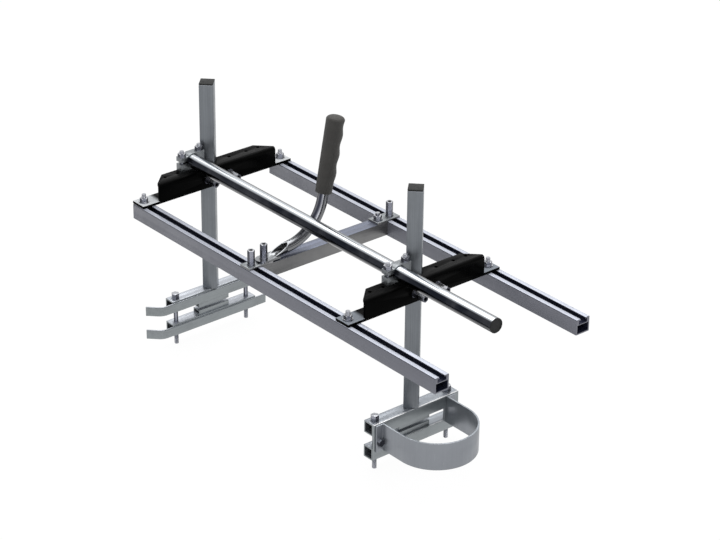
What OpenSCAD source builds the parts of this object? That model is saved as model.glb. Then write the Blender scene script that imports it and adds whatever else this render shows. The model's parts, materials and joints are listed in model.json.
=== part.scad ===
// Chainsaw mill: a pair of slotted rails, two end brackets, two clamp posts and a push handle
// X runs along the rails, Y across them and Z up; the part stands on its four clamp bolts

/* [Rails] */
// Length of each rail
rail_len = 797; // [600:1:1200]
// Width over both rails
frame_w = 330; // [280:1:420]
// Width of a rail
rail_w = 28.8; // [26:0.1:36]
// Height of a rail
rail_h = 27.2; // [24:0.1:34]
// Wall of the rail's lower hollow
rail_wall = 2.5; // [1.5:0.1:4]
// Width of the slot between the lips
slot_w = 10.7; // [8.8:0.1:11]
// Width of the channel under the lips
channel_w = 18; // [15:0.1:22]
// Height of the channel under the lips
channel_h = 6; // [5.9:0.1:8]
// Thickness of the lips
lip_t = 2.5; // [1.8:0.1:4]
// Radius of the rail's upper outer edges
rail_edge_r = 1.5; // [0.5:0.1:1.7]
// Thickness of the channel's floor
floor_t = 2; // [1:0.1:4]

/* [Cross brace] */
// Distance from the rails' left end to the middle of the brace
brace_x = 318.7; // [280:1:400]
// Side of the square brace tube
brace_s = 25.4; // [20:0.1:26]
// Wall of the brace tube
brace_wall = 3; // [1.5:0.1:4]
// Length of a brace plate across the joint
brace_plate_len = 50; // [46:1:60]
// Thickness of a brace plate
brace_plate_t = 3.2; // [2:0.1:5]
// Distance between the two bolts of a brace plate
brace_bolt_pitch = 26.5; // [23:0.5:30]

/* [End brackets] */
// Distance from the rails' left end to the front of the left bracket
left_bracket_x = 29.2; // [29:0.1:60]
// Distance from the rails' left end to the front of the right bracket
right_bracket_x = 586.5; // [540:1:600]
// Thickness of the bracket plate
bracket_t = 4.8; // [3:0.1:6]
// Height of a bracket
bracket_h = 37; // [34:0.1:46]
// Depth of the top and bottom flanges
flange_d = 31.8; // [29:0.1:36]
// Distance from a foot's end to the rail's outer side
foot_inset = 2; // [0:0.5:6]
// Length of the upright web
web_len = 256; // [240:1:270]
// Length of the slanted ends of the top flange
slant_len = 27; // [15:1:35]
// Outer radius of the bends
bend_r = 6; // [5.5:0.1:8]
// Diameter of the spare holes in the top flange
spare_hole_d = 6.3; // [3:0.1:7]
// Distance from the bracket's middle to the single spare hole
spare_single = 38; // [36:0.5:44]
// Distance between the two outer spare holes of a side
spare_pitch = 27; // [20:0.5:28]
// Distance from the web's end to the outermost spare hole
spare_edge = 25.5; // [22:0.5:30]

/* [Posts] */
// Side of a square post
post_s = 25.4; // [22:0.1:27]
// Wall of a post
post_wall = 3.2; // [1.5:0.1:4]
// Length of a post
post_len = 399; // [360:1:520]
// Height of the post's foot below the underside of the rails
post_drop = 186; // [170:1:230]
// Space between the web and the post's front corner
post_setback = 7; // [6:0.1:9]
// Thickness of a post cap
cap_t = 2.6; // [1:0.1:5]
// Depth of the cap's plug inside the post
cap_plug = 12; // [5:1:20]

/* [U-bolts] */
// Diameter of the rod
rod_d = 6.3; // [5:0.1:7]
// Distance between the two legs
u_pitch = 48; // [46:0.5:54]
// Height of the legs above the bracket's foot
u_height = 16.4; // [14:0.1:20]
// Width of a coupling nut across the flats
coupling_af = 11.1; // [10:0.1:12]
// Length of a coupling nut
coupling_len = 25; // [20:0.1:34]

/* [Fasteners] */
// Diameter of the bolts
bolt_d = 7.9; // [6:0.1:8]
// Width of nuts and heads across the flats
hex_af = 12.7; // [11:0.1:13]
// Height of a bolt head
head_h = 5.3; // [4:0.1:5.5]
// Height of a nut
nut_h = 6.8; // [5:0.1:8]
// Diameter of a washer
washer_d = 17.4; // [14:0.1:19]
// Thickness of a washer
washer_t = 1.6; // [1:0.1:2.5]
// Diameter of the thinner bolts, under the brace's coupling nuts
thin_bolt_d = 6.3; // [5:0.1:7]
// Diameter of a washer under a coupling nut
thin_washer_d = 14.2; // [12:0.1:16]
// Length of bolt inside a coupling nut
coupling_bite = 17; // [8:0.5:19]
// Length of thread that stands out of a nut
thread_out = 4.5; // [2:0.5:6]
// Length of thread that stands out of a foot's nut
foot_thread_out = 7; // [2:0.5:9]

/* [Guide tube] */
// Diameter of the guide tube
tube_d = 25.4; // [22:0.1:26]
// Wall of the guide tube
tube_wall = 1.7; // [1:0.1:3]
// Length of the guide tube
tube_len = 802; // [700:1:1100]
// Distance of the tube's axis from the middle of the frame
tube_off = 44.1; // [43:0.1:46]
// Thickness of the tube plug's rim
tube_plug_t = 2.2; // [1:0.1:4]
// Depth of a tube plug inside the tube
tube_plug_in = 16; // [8:1:30]

/* [Tube clamps] */
// Width of a tube clamp along the tube
hold_w = 15; // [14:0.1:20]
// Length of a tube clamp across the tube
hold_len = 50.2; // [50:0.1:52]
// Step down from the clamp's flat top to its slit side
hold_drop = 4; // [2:0.1:5]
// Wall between the tube and the bracket
hold_floor = 3.6; // [3:0.1:6]
// Thickness of the arch over the tube
hold_arch = 1.8; // [1.2:0.1:3]
// Distance between the clamp's two bolts
hold_pitch = 37; // [36:0.1:38]
// Width of the clamping slit
hold_slit = 4.5; // [2:0.1:5]

/* [Push handle] */
// Diameter of the handle tube
handle_d = 19.1; // [17:0.1:25]
// Wall of the handle tube
handle_wall = 1.8; // [1.2:0.1:3]
// Radius of the bend along the tube's axis
handle_r = 84.7; // [70:0.1:100]
// Slope of the grip
grip_slope = 78.4; // [60:0.1:88]
// Length of the straight tube between the grip and the bend
handle_straight = 11; // [5:0.5:30]
// Distance from the frame's middle to the start of the bend, toward the near rail
bend_off = 81.4; // [78:0.1:86]
// Distance from the frame's middle to the start of the open mouth
mouth_y = 110; // [100:1:115]
// Length of the slanted open mouth
mouth_len = 40; // [20:1:44]
// Width of the flat tongue
tongue_w = 25.4; // [22:0.1:30]
// Thickness of the flat tongue
tongue_t = 3.2; // [2:0.1:5]
// Length of the grip
grip_len = 136; // [110:1:145]
// Diameter of the grip at its lower end
grip_d1 = 28.5; // [26:0.1:34]
// Diameter of the grip at its upper end
grip_d2 = 33; // [28:0.1:40]
// Number of finger hollows
finger_n = 3; // [2:1:5]
// Depth of a finger hollow
finger_depth = 2.5; // [0.5:0.1:3]
// Length of the grip's plain collar below the finger side
grip_collar = 24; // [10:1:40]
// How far the finger side stands out from the grip's round body
grip_swell = 2; // [0:0.1:4]

/* [Bar clamps] */
// Side of the square clamp bars
bar_s = 22.2; // [19:0.1:25]
// Wall of the clamp bars
bar_wall = 2.4; // [1.5:0.1:4]
// Length of a clamp bar beyond each bolt
bar_end = 13.6; // [11:0.1:30]
// Gap between an upper and a lower bar
bar_gap = 24.3; // [20:0.1:34]
// Distance between a clamp's two bolts
clamp_pitch = 158.8; // [150:0.1:166]
// Height of a clamp bolt's head
clamp_head_h = 10.4; // [5:0.1:12]
// Length of bolt below the lower bar
bolt_below = 22.8; // [18:0.1:40]
// Length of a clamping pad
pad_len = 67; // [40:1:90]
// Width of a clamping pad
pad_w = 18; // [12:0.1:20]
// Slot left between the pads for the saw's guide bar
pad_slot = 5.2; // [4.8:0.1:8]
// Wall of a clamping pad
pad_wall = 2; // [1:0.1:3]

/* [Left clamp strips] */
// Height of a strip
strip_h = 17.5; // [12:0.1:19]
// Thickness of a strip
strip_t = 3.2; // [2:0.1:5]
// Reach of the strips past the bars' far end
strip_far = 22; // [5:0.5:30]
// Reach of the straight part past the bars' near end
strip_near = 14.6; // [2:0.1:20]
// Radius of the strip's bend along its middle
strip_r = 22; // [12:0.5:30]
// Length of the turned-in tip
strip_tip = 21.6; // [10:0.1:23]

/* [Nose guard] */
// Height of the front plate
plate_h = 66; // [60:1:68]
// Thickness of the front plate
plate_t = 3.2; // [2:0.1:5]
// Length of the window in the front plate
window_len = 124; // [90:1:130]
// Height of the guard band
guard_h = 50; // [40:1:60]
// Thickness of the guard band
guard_t = 3.2; // [2:0.1:5]
// Outer radius of the band's round front
guard_r = 72.5; // [68:0.1:76]
// Length of the band's straight sides
guard_side = 51.5; // [30:0.5:70]
// Width of a fixing tab
tab_w = 17; // [15:0.1:18]
// Diameter of the guard's bolts
guard_bolt_d = 6.3; // [5:0.1:6.5]

/* [Hidden] */
$fn = 64;

// Gap of a running fit, on the radius
run_gap = 0.08;
// Gap of a snug fit between pieces that do not move
snug_gap = 0.05;
// Gap between pieces that slide past each other
slide_gap = 0.3;
// Gap of a bolt in its hole, on the radius
hole_gap = 0.4;
// Overlap of a cut with the space around it
cut = 1;

// Heights above the ground, from the bolt tips up
lower_z = bolt_below;
gap_z = lower_z + bar_s;
upper_z = gap_z + bar_gap;
post_z = upper_z + bar_s;
rail_z = post_z + post_drop;
rail_top = rail_z + rail_h;
bracket_top = rail_top + bracket_h;
plate_top = rail_top + brace_plate_t;
tube_z = bracket_top + hold_floor + tube_d / 2;
hold_h = hold_floor + tube_d + hold_arch;
u_z = rail_top + u_height;
pad_h = (bar_gap - pad_slot) / 2;

// Places across the rails
slot_y = (frame_w - rail_w) / 2;
brace_len = frame_w - 2 * rail_w;
foot_len = frame_w - 2 * foot_inset;
bar_len = clamp_pitch + 2 * bar_end;
inner_bolt_y = slot_y - brace_bolt_pitch;
plate_inset = 1;
plate_mid = frame_w / 2 - plate_inset - brace_plate_len / 2;

// Places along the rails, measured from their left end and then moved to the middle of the part
half_diag = post_s / sqrt(2);
post_back = bracket_t + post_setback + half_diag;
left_post_x = left_bracket_x - post_back;
right_post_x = right_bracket_x - post_back;
tube_start = left_bracket_x - flange_d;
x_low = left_post_x - half_diag - slide_gap - rod_d;
x_high = tube_start + tube_len + tube_plug_t;
mid_x = (x_low + x_high) / 2;
foot_bolt_x = -flange_d / 2;
hold_inset = 1.6;
hold_x = -flange_d + hold_w / 2 + hold_inset;
spare_hole_x = -19;
spare_far = web_len / 2 - spare_edge;
spare_near = spare_far - spare_pitch;
spare_holes = [-spare_far, -spare_near, spare_single, spare_near, spare_far];
u_front = washer_t + coupling_bite;
stock_gap = 0.3;
nut_ease = 0.4;

// Places of the handle
flat_bottom = 0.5;
handle_z = plate_top + handle_d / 2 - flat_bottom;
bend_y = -bend_off;
bend_loss = 0.1;
grip_end = 8;
tongue_margin = 15;
tongue_end = inner_bolt_y + tongue_margin;
tongue_overlap = 12;
tongue_inner = mouth_y - tongue_overlap;
grip_step = 8;
swell_inset = 0.5;
grip_dome = grip_d2 / 4;
finger_start = grip_collar + grip_step;
finger_low = grip_d2 / 2 - swell_inset + grip_swell;
finger_high = grip_d2 / 2 - swell_inset;
finger_side = grip_len - grip_dome - finger_start;
finger_stop = 2;
finger_r = 34;

// Places of the nose guard
guard_mid = -3.5;
guard_inset = 1;
guard_af = 11.1;
tab_y = guard_r + guard_af / 2 + stock_gap;
guard_z = post_z - guard_inset - guard_h;
guard_bolt_z = gap_z + bar_gap / 2;
guard_head_h = 4.2;
guard_nut_h = 5.6;
window_gap = 0.6;

// Turns a shape drawn across the rails into a bar along them
module along_x(len) {
    rotate([90, 0, 90]) linear_extrude(len) children();
}

// Turns a shape drawn in X and Z into a bar along Y, centred
module along_y(len) {
    translate([0, len / 2, 0]) rotate([90, 0, 0]) linear_extrude(len) children();
}

module from_rail_end() {
    translate([-mid_x, 0, 0]) children();
}

module at_left_bracket() {
    translate([left_bracket_x - mid_x, 0, 0]) children();
}

module at_right_bracket() {
    translate([right_bracket_x - mid_x, 0, 0]) children();
}

module at_left_post() {
    translate([left_post_x - mid_x, 0, 0]) children();
}

module at_right_post() {
    translate([right_post_x - mid_x, 0, 0]) children();
}

module at_brace() {
    translate([brace_x - mid_x, 0, 0]) children();
}

// Takes the corner off a shape so that a round of radius r is left
module bent_corner(r) {
    difference() {
        square([r + cut, r + cut]);
        circle(r);
    }
}

// Fasteners, each standing on its lower face
module hexagon(h, af = hex_af) {
    cylinder(d = af / cos(30), h = h, $fn = 6);
}

module washer(outer = washer_d, inner = bolt_d) {
    difference() {
        cylinder(d = outer, h = washer_t);
        translate([0, 0, -cut]) cylinder(d = inner + 2 * snug_gap, h = washer_t + 2 * cut);
    }
}

// Steep cone that takes the corners off a nut's end
module nut_cone(h, af) {
    cylinder(d1 = af + nut_ease, d2 = af + nut_ease + 4 * h, h = h);
}

module nut(h = nut_h, af = hex_af, inner = bolt_d) {
    difference() {
        intersection() {
            hexagon(h, af);
            nut_cone(h, af);
            translate([0, 0, h]) mirror([0, 0, 1]) nut_cone(h, af);
        }
        translate([0, 0, -cut]) cylinder(d = inner + 2 * snug_gap, h = h + 2 * cut);
    }
}

module coupling_nut(inner) {
    nut(coupling_len, coupling_af, inner);
}

// Bolt with its head below the origin and its shank going up
module bolt_up(len, d = bolt_d, af = hex_af) {
    translate([0, 0, -head_h]) hexagon(head_h, af);
    cylinder(d = d, h = len);
}

// Rails
module rail() {
    along_x(rail_len) {
        difference() {
            translate([-rail_w / 2, 0]) square([rail_w, rail_h]);
            for (side = [-1, 1]) {
                scale([side, 1]) translate([rail_w / 2 - rail_edge_r, rail_h - rail_edge_r])
                    bent_corner(rail_edge_r);
            }
            translate([-rail_w / 2 + rail_wall, rail_wall])
                square([rail_w - 2 * rail_wall, rail_h - lip_t - channel_h - floor_t - rail_wall]);
            translate([-channel_w / 2, rail_h - lip_t - channel_h]) square([channel_w, channel_h]);
            translate([-slot_w / 2, rail_h - lip_t - channel_h]) square([slot_w, lip_t + channel_h + cut]);
        }
    }
}

module rail_near() {
    color("silver") from_rail_end() translate([0, -slot_y, rail_z]) rail();
}

module rail_far() {
    color("silver") from_rail_end() translate([0, slot_y, rail_z]) rail();
}

// Cross brace
module cross_brace() {
    color("silver") at_brace() {
        difference() {
            translate([0, 0, rail_top - brace_s]) along_y(brace_len) {
                difference() {
                    translate([-brace_s / 2, 0]) square(brace_s);
                    translate([-brace_s / 2 + brace_wall, brace_wall]) square(brace_s - 2 * brace_wall);
                }
            }
            for (y = [-inner_bolt_y, inner_bolt_y]) {
                translate([0, y, rail_top - brace_wall - cut])
                    cylinder(d = bolt_d + 2 * hole_gap, h = brace_wall + 2 * cut);
            }
        }
    }
}

module brace_plate() {
    difference() {
        translate([-brace_s / 2, -brace_plate_len / 2, 0]) cube([brace_s, brace_plate_len, brace_plate_t]);
        for (y = [slot_y, inner_bolt_y]) {
            translate([0, y - plate_mid, -cut])
                cylinder(d = bolt_d + 2 * hole_gap, h = brace_plate_t + 2 * cut);
        }
    }
}

module brace_plate_far() {
    color("gainsboro") at_brace()
        translate([0, plate_mid, rail_top]) brace_plate();
}

module brace_plate_near() {
    color("gainsboro") at_brace()
        translate([0, -plate_mid, rail_top]) mirror([0, 1, 0]) brace_plate();
}

// Bolts of the brace: two slide in the rails' channels, two hang in the brace tube
module brace_bolts() {
    color("lightgray") at_brace() {
        for (y = [-slot_y, slot_y]) {
            translate([0, y, rail_top - lip_t - stock_gap])
                bolt_up(lip_t + stock_gap + brace_plate_t + washer_t + coupling_bite, thin_bolt_d);
        }
        translate([0, -inner_bolt_y, rail_top - brace_wall])
            bolt_up(brace_wall + brace_plate_t + tongue_t + washer_t + coupling_bite, thin_bolt_d);
        translate([0, inner_bolt_y, rail_top - brace_wall])
            bolt_up(brace_wall + brace_plate_t + washer_t + nut_h + thread_out);
    }
}

module brace_washers() {
    color("lightgray") at_brace() {
        for (y = [-slot_y, slot_y]) {
            translate([0, y, plate_top]) washer(thin_washer_d, thin_bolt_d);
        }
        translate([0, inner_bolt_y, plate_top]) washer();
        translate([0, -inner_bolt_y, plate_top + tongue_t]) washer(thin_washer_d, thin_bolt_d);
    }
}

module brace_coupling_nuts() {
    color("lightgray") at_brace() {
        for (y = [-slot_y, slot_y]) {
            translate([0, y, plate_top + washer_t]) coupling_nut(thin_bolt_d);
        }
        translate([0, -inner_bolt_y, plate_top + tongue_t + washer_t]) coupling_nut(thin_bolt_d);
    }
}

module brace_nut() {
    color("lightgray") at_brace() translate([0, inner_bolt_y, plate_top + washer_t]) nut();
}

// End bracket: its front is at X = 0 and its foot's underside at Z = 0
module bracket_profile() {
    difference() {
        translate([-flange_d, 0]) square([flange_d, bracket_h]);
        translate([-bend_r, bracket_h - bend_r]) bent_corner(bend_r);
        difference() {
            translate([-flange_d - cut, bracket_t])
                square([flange_d - bracket_t + cut, bracket_h - 2 * bracket_t]);
            translate([-bend_r, bracket_h - bend_r]) bent_corner(bend_r - bracket_t);
        }
    }
}

module post_notch(h) {
    reach = half_diag + sqrt(2) * slide_gap;
    translate([-post_back, 0, 0]) linear_extrude(h) {
        rotate(45) square(post_s + 2 * slide_gap, center = true);
        translate([-flange_d, -reach]) square([flange_d, 2 * reach]);
    }
}

module bracket() {
    difference() {
        union() {
            along_y(web_len) bracket_profile();
            translate([-flange_d, -foot_len / 2, 0]) cube([flange_d, foot_len, bracket_t]);
        }
        for (side = [-1, 1]) {
            scale([1, side, 1]) translate([0, 0, bracket_h - bracket_t - cut])
                linear_extrude(bracket_t + 2 * cut)
                    polygon([[-bend_r, web_len / 2], [-bend_r, web_len / 2 + cut],
                        [-flange_d - cut, web_len / 2 + cut], [-flange_d - cut, web_len / 2 - slant_len],
                        [-flange_d, web_len / 2 - slant_len]]);
            translate([foot_bolt_x, side * slot_y, -cut])
                cylinder(d = bolt_d + 2 * hole_gap, h = bracket_t + 2 * cut);
            translate([-bracket_t - cut, side * u_pitch / 2, u_height]) rotate([0, 90, 0])
                cylinder(d = rod_d + 2 * hole_gap, h = bracket_t + 2 * cut);
            translate([hold_x, -tube_off + side * hold_pitch / 2, bracket_h - bracket_t - cut])
                cylinder(d = bolt_d + 2 * hole_gap, h = bracket_t + 2 * cut);
        }
        for (y = spare_holes) {
            translate([spare_hole_x, y, bracket_h - bracket_t - cut])
                cylinder(d = spare_hole_d, h = bracket_t + 2 * cut);
        }
        translate([0, 0, -cut]) post_notch(bracket_t + 2 * cut);
        translate([0, 0, bracket_h - bracket_t - cut]) post_notch(bracket_t + 2 * cut);
    }
}

module foot_bolts() {
    for (side = [-1, 1]) {
        translate([foot_bolt_x, side * slot_y, rail_top - lip_t - stock_gap])
            bolt_up(lip_t + stock_gap + bracket_t + washer_t + nut_h + foot_thread_out);
    }
}

module foot_nuts() {
    for (side = [-1, 1]) {
        translate([foot_bolt_x, side * slot_y, rail_top + bracket_t]) {
            washer();
            translate([0, 0, washer_t]) nut();
        }
    }
}

// U-bolt round the back of the post
module u_bolt() {
    bend_x = -post_back - half_diag - slide_gap - rod_d / 2 + u_pitch / 2;
    translate([bend_x, 0, u_z]) rotate(90) rotate_extrude(angle = 180) translate([u_pitch / 2, 0])
        circle(d = rod_d);
    for (side = [-1, 1]) {
        translate([bend_x, side * u_pitch / 2, u_z]) rotate([0, 90, 0])
            cylinder(d = rod_d, h = u_front - bend_x);
    }
}

module u_bolt_nuts() {
    for (side = [-1, 1]) {
        translate([0, side * u_pitch / 2, u_z]) rotate([0, 90, 0]) {
            washer(thin_washer_d, rod_d);
            translate([0, 0, washer_t]) coupling_nut(rod_d);
        }
    }
}

// Tube clamp: its flat top ends over the tube, and rounds off toward the lower side with the slit
module tube_clamp_profile() {
    translate([-hold_len / 2, 0]) square([hold_len, hold_h - hold_drop]);
    square([hold_len / 2, hold_h]);
    translate([0, hold_floor + tube_d / 2]) circle(d = tube_d + 2 * hold_arch);
}

module tube_clamp() {
    translate([hold_x - hold_w / 2, -tube_off, bracket_top]) difference() {
        along_x(hold_w) tube_clamp_profile();
        translate([-cut, 0, hold_floor + tube_d / 2]) rotate([0, 90, 0])
            cylinder(d = tube_d + 2 * run_gap, h = hold_w + 2 * cut);
        translate([-cut, -hold_len / 2 - cut, hold_floor + tube_d / 2 - hold_slit / 2])
            cube([hold_w + 2 * cut, hold_len / 2 + cut, hold_slit]);
        for (side = [-1, 1]) {
            translate([hold_w / 2, side * hold_pitch / 2, -cut])
                cylinder(d = bolt_d + 2 * snug_gap, h = hold_h + 2 * cut);
        }
    }
}

// Height of the clamp's top under its slit-side nut (-1) or its closed-side nut (1)
function hold_top(side) = side < 0 ? hold_h - hold_drop : hold_h;

module tube_clamp_bolts() {
    for (side = [-1, 1]) {
        translate([hold_x, -tube_off + side * hold_pitch / 2, bracket_top - bracket_t])
            bolt_up(bracket_t + hold_top(side) + nut_h + thread_out);
    }
}

module tube_clamp_nuts() {
    for (side = [-1, 1]) {
        translate([hold_x, -tube_off + side * hold_pitch / 2, bracket_top + hold_top(side)]) nut();
    }
}

module bracket_left() {
    color("black") at_left_bracket() translate([0, 0, rail_top]) bracket();
}

module foot_bolts_left() {
    color("lightgray") at_left_bracket() foot_bolts();
}

module foot_nuts_left() {
    color("lightgray") at_left_bracket() foot_nuts();
}

module u_bolt_left() {
    color("lightgray") at_left_bracket() u_bolt();
}

module u_bolt_nuts_left() {
    color("lightgray") at_left_bracket() u_bolt_nuts();
}

module tube_clamp_left() {
    color("silver") at_left_bracket() tube_clamp();
}

module tube_clamp_bolts_left() {
    color("lightgray") at_left_bracket() tube_clamp_bolts();
}

module tube_clamp_nuts_left() {
    color("lightgray") at_left_bracket() tube_clamp_nuts();
}

module bracket_right() {
    color("black") at_right_bracket() translate([0, 0, rail_top]) bracket();
}

module foot_bolts_right() {
    color("lightgray") at_right_bracket() foot_bolts();
}

module foot_nuts_right() {
    color("lightgray") at_right_bracket() foot_nuts();
}

module u_bolt_right() {
    color("lightgray") at_right_bracket() u_bolt();
}

module u_bolt_nuts_right() {
    color("lightgray") at_right_bracket() u_bolt_nuts();
}

module tube_clamp_right() {
    color("silver") at_right_bracket() tube_clamp();
}

module tube_clamp_bolts_right() {
    color("lightgray") at_right_bracket() tube_clamp_bolts();
}

module tube_clamp_nuts_right() {
    color("lightgray") at_right_bracket() tube_clamp_nuts();
}

// Guide tube and its plugs
module guide_tube() {
    color("silver") from_rail_end() translate([tube_start, -tube_off, tube_z]) rotate([0, 90, 0])
        difference() {
            cylinder(d = tube_d, h = tube_len);
            translate([0, 0, -cut]) cylinder(d = tube_d - 2 * tube_wall, h = tube_len + 2 * cut);
        }
}

module tube_plug() {
    cylinder(d = tube_d, h = tube_plug_t);
    translate([0, 0, -tube_plug_in])
        cylinder(d = tube_d - 2 * tube_wall - 2 * snug_gap, h = tube_plug_in + tube_plug_t);
}

module guide_tube_plug_right() {
    color("dimgray") from_rail_end() translate([tube_start + tube_len, -tube_off, tube_z])
        rotate([0, 90, 0]) tube_plug();
}

module guide_tube_plug_left() {
    color("dimgray") from_rail_end() translate([tube_start, -tube_off, tube_z])
        rotate([0, -90, 0]) tube_plug();
}

// Push handle: a bent tube whose lower end opens into a scoop and a flat tongue
module at_bend() {
    translate([0, bend_y, handle_z + handle_r]) rotate([0, 90, 0]) children();
}

module at_grip() {
    at_bend() rotate(grip_slope) translate([handle_r, 0]) rotate([-90, 0, 0])
        translate([0, 0, handle_straight]) rotate(90) children();
}

// The straight ends are a touch wider than the bend, as a bending machine leaves them
module handle_sweep(d, extra) {
    at_bend() rotate_extrude(angle = grip_slope) translate([handle_r, 0]) circle(d = d);
    at_bend() rotate(grip_slope) translate([handle_r, 0]) rotate([-90, 0, 0])
        cylinder(d = d + bend_loss, h = handle_straight + grip_len - grip_end + extra);
    translate([0, bend_y, handle_z]) rotate([90, 0, 0])
        cylinder(d = d + bend_loss, h = bend_y + mouth_y + cut + extra);
}

module above_plate() {
    translate([-tongue_w, 0, plate_top]) along_x(2 * tongue_w) children();
}

module handle_tube() {
    color("silver") at_brace() difference() {
        union() {
            difference() {
                handle_sweep(handle_d, 0);
                handle_sweep(handle_d - 2 * handle_wall, cut);
                above_plate() translate([-frame_w, -frame_w]) square([2 * frame_w, frame_w]);
                above_plate() polygon([[-mouth_y, tongue_t / 2], [-mouth_y + mouth_len, handle_d],
                    [-mouth_y + mouth_len, 2 * handle_d], [-frame_w / 2, 2 * handle_d],
                    [-frame_w / 2, tongue_t / 2]]);
            }
            translate([-tongue_w / 2, -tongue_end + tongue_w / 2, plate_top])
                cube([tongue_w, tongue_end - tongue_w / 2 - tongue_inner, tongue_t]);
            translate([0, -tongue_end + tongue_w / 2, plate_top]) cylinder(d = tongue_w, h = tongue_t);
        }
        translate([0, -inner_bolt_y, plate_top - cut])
            cylinder(d = thin_bolt_d + 2 * hole_gap, h = tongue_t + 2 * cut);
    }
}

// Distance of the finger side from the grip's axis at height z
function finger_edge(z) = finger_low + (finger_high - finger_low) * (z - finger_start) / finger_side;

module grip_body() {
    cylinder(d1 = grip_d1, d2 = grip_d2, h = grip_len - grip_dome);
    translate([0, grip_swell, grip_collar])
        cylinder(r1 = grip_d1 / 2 - grip_swell, r2 = finger_low - grip_swell, h = grip_step);
    translate([0, grip_swell, finger_start])
        cylinder(r1 = finger_low - grip_swell, r2 = finger_high - grip_swell, h = finger_side);
    translate([0, 0, grip_len - grip_dome]) rotate_extrude() intersection() {
        scale([1, 2 * grip_dome / grip_d2]) circle(d = grip_d2);
        square(grip_d2);
    }
}

module handle_grip() {
    pitch = (grip_len - finger_start - finger_stop) / finger_n;
    color("dimgray") at_brace() at_grip() difference() {
        grip_body();
        translate([0, 0, -cut])
            cylinder(d = handle_d + bend_loss + 2 * snug_gap, h = grip_len - grip_end + cut);
        for (i = [0 : finger_n - 1]) {
            z = finger_start + pitch * (i + 0.5);
            translate([-grip_d2, finger_edge(z) + finger_r - finger_depth, z]) rotate([0, 90, 0])
                cylinder(r = finger_r, h = 2 * grip_d2);
        }
    }
}

// Posts, turned by 45 degrees, and their caps
module post() {
    translate([0, 0, post_z]) rotate(45) linear_extrude(post_len) difference() {
        square(post_s, center = true);
        square(post_s - 2 * post_wall, center = true);
    }
}

module post_cap() {
    inner = post_s - 2 * post_wall - 2 * snug_gap;
    translate([0, 0, post_z + post_len]) rotate(45) {
        translate([-post_s / 2, -post_s / 2, 0]) cube([post_s, post_s, cap_t]);
        translate([-inner / 2, -inner / 2, -cap_plug]) cube([inner, inner, cap_plug + cap_t]);
    }
}

module post_left() {
    color("silver") at_left_post() post();
}

module post_right() {
    color("silver") at_right_post() post();
}

module post_cap_left() {
    color("dimgray") at_left_post() post_cap();
}

module post_cap_right() {
    color("dimgray") at_right_post() post_cap();
}

// Bar clamps, drawn at the post's axis
module clamp_bar(gap, back = 0) {
    difference() {
        translate([-back, 0, 0]) along_y(bar_len) difference() {
            translate([-bar_s / 2, 0]) square(bar_s);
            translate([-bar_s / 2 + bar_wall, bar_wall]) square(bar_s - 2 * bar_wall);
        }
        for (y = [-clamp_pitch / 2, clamp_pitch / 2]) {
            translate([0, y, -cut]) cylinder(d = bolt_d + 2 * gap, h = bar_s + 2 * cut);
        }
    }
}

module clamp_pad() {
    along_y(pad_len) difference() {
        translate([-pad_w / 2, 0]) square([pad_w, pad_h]);
        translate([-pad_w / 2 + pad_wall, pad_wall]) square([pad_w - 2 * pad_wall, pad_h - 2 * pad_wall]);
    }
}

module clamp_bolts() {
    for (y = [-clamp_pitch / 2, clamp_pitch / 2]) {
        translate([0, y, post_z]) hexagon(clamp_head_h);
        translate([0, y, 0]) cylinder(d = bolt_d, h = post_z + head_h);
    }
}

// Flat strip on the left clamp, straight and then turned in by 45 degrees
module strip() {
    mid = bar_s / 2 + strip_t / 2;
    near = bar_len / 2 + strip_near;
    translate([0, 0, (bar_s - strip_h) / 2]) linear_extrude(strip_h) {
        translate([mid - strip_t / 2, -near]) square([strip_t, near + bar_len / 2 + strip_far]);
        translate([mid - strip_r, -near]) {
            intersection() {
                difference() {
                    circle(r = strip_r + strip_t / 2);
                    circle(r = strip_r - strip_t / 2);
                }
                polygon([[0, 0], [2 * strip_r, 0], [2 * strip_r, -2 * strip_r]]);
            }
            rotate(-45) translate([strip_r - strip_t / 2, -strip_tip]) square([strip_t, strip_tip]);
        }
    }
}

module upper_bar_left() {
    color("darkgray") at_left_post() translate([0, 0, upper_z]) clamp_bar(hole_gap);
}

module upper_strip_left() {
    color("gray") at_left_post() translate([0, 0, upper_z]) strip();
}

module upper_pad_left() {
    color("darkgray") at_left_post() translate([0, 0, upper_z - pad_h]) clamp_pad();
}

module clamp_bolts_left() {
    color("lightgray") at_left_post() clamp_bolts();
}

module lower_bar_left() {
    color("darkgray") at_left_post() translate([0, 0, lower_z]) clamp_bar(run_gap);
}

module lower_strip_left() {
    color("gray") at_left_post() translate([0, 0, lower_z]) strip();
}

module lower_pad_left() {
    color("darkgray") at_left_post() translate([0, 0, gap_z]) clamp_pad();
}

module upper_bar_right() {
    color("darkgray") at_right_post() translate([0, 0, upper_z]) clamp_bar(hole_gap);
}

module upper_pad_right() {
    color("darkgray") at_right_post() translate([0, 0, upper_z - pad_h]) clamp_pad();
}

module clamp_bolts_right() {
    color("lightgray") at_right_post() clamp_bolts();
}

module lower_bar_right() {
    color("darkgray") at_right_post() translate([0, 0, lower_z]) clamp_bar(run_gap, slide_gap);
}

module lower_pad_right() {
    color("darkgray") at_right_post() translate([0, 0, gap_z]) clamp_pad();
}

// Front plate and nose guard of the right clamp

module guard_holes(gap) {
    for (side = [-1, 1]) {
        translate([bar_s / 2 - cut, guard_mid + side * tab_y, guard_bolt_z]) rotate([0, 90, 0])
            cylinder(d = guard_bolt_d + 2 * gap, h = plate_t + guard_t + 2 * cut);
    }
}

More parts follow.
